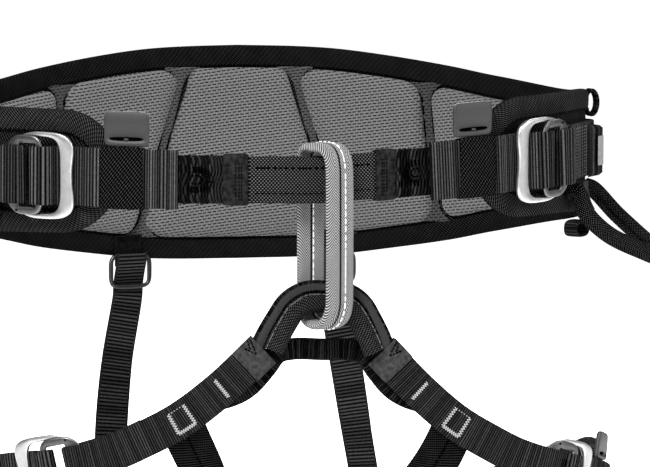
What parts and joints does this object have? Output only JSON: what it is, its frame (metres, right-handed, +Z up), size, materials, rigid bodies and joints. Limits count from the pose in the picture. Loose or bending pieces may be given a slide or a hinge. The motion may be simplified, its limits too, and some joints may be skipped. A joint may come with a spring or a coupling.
{
  "type": "sit harness",
  "caption": "Padded waist belt with leg loops, double-back buckles, belay loop, tie-in loops, rear straps and gear loops, worn to hold a person on a rope.",
  "frame": {"origin": "middle of the waist belt's hollow, half way up the back of the belt", "axes": "+Z up, -Y toward the front with the belay loop, +X to the right of the picture"},
  "size_m": [0.4673, 0.2724, 0.3563],
  "materials": {
    "binding": "black twill binding",
    "cordura": "black coarse woven nylon",
    "lining": "grey mesh lining",
    "webbing": "black ribbed webbing",
    "elastic": "black knitted sleeve",
    "tape": "smooth dark tape",
    "belay": "light grey herringbone webbing",
    "plastic": "satin grey",
    "steel": "bright satin",
    "plate": "darker satin",
    "cord": "black braided sleeve"
  },
  "bodies": {
    "root": {"waist_shell": "cordura", "waist_binding": "binding", "lining_panel_centre": "lining", "lining_panel_back_left": "lining", "lining_panel_back_right": "lining", "lining_panel_side_left": "lining", "lining_panel_side_right": "lining", "upper_tie_in_loop": "webbing", "belay_loop": "belay", "lower_tie_in_sleeve": "elastic", "lower_tie_in_band": "webbing", "bridge_strap": "webbing", "waist_buckle_frame_left": "steel", "waist_buckle_frame_right": "steel", "waist_buckle_plate_left": "plate", "waist_buckle_plate_right": "plate", "front_strap_left": "webbing", "front_strap_right": "webbing", "waist_webbing_left": "webbing", "waist_webbing_right": "webbing", "strap_keeper_left": "elastic", "strap_keeper_right": "elastic", "strap_retainer_left": "plastic", "strap_retainer_right": "plastic", "tie_in_webbing_left": "webbing", "tie_in_webbing_right": "webbing", "tie_in_tape_left": "tape", "tie_in_tape_right": "tape", "leg_buckle_frame_left": "steel", "leg_buckle_frame_right": "steel", "leg_buckle_plate_left": "plate", "leg_buckle_plate_right": "plate", "leg_outer_strap_left": "webbing", "leg_outer_strap_right": "webbing", "leg_strap_left": "webbing", "leg_strap_right": "webbing", "leg_retainer_left": "plastic", "leg_retainer_right": "plastic", "bridge_tape_left": "tape", "bridge_tape_right": "tape", "thigh_strap_left": "webbing", "thigh_strap_right": "webbing", "leg_pad_left": "cordura", "leg_pad_right": "cordura", "rear_anchor_left": "webbing", "rear_anchor_right": "webbing", "rear_buckle_left": "plate", "rear_buckle_right": "plate", "rear_strap_left": "webbing", "rear_strap_right": "webbing", "gear_loop_left": "cord", "gear_loop_right": "cord", "side_tab_left": "webbing", "side_tab_right": "webbing", "small_loop_top_left": "webbing", "small_loop_top_right": "webbing", "small_loop_bottom_left": "webbing", "small_loop_bottom_right": "webbing"}
  },
  "joints": []
}
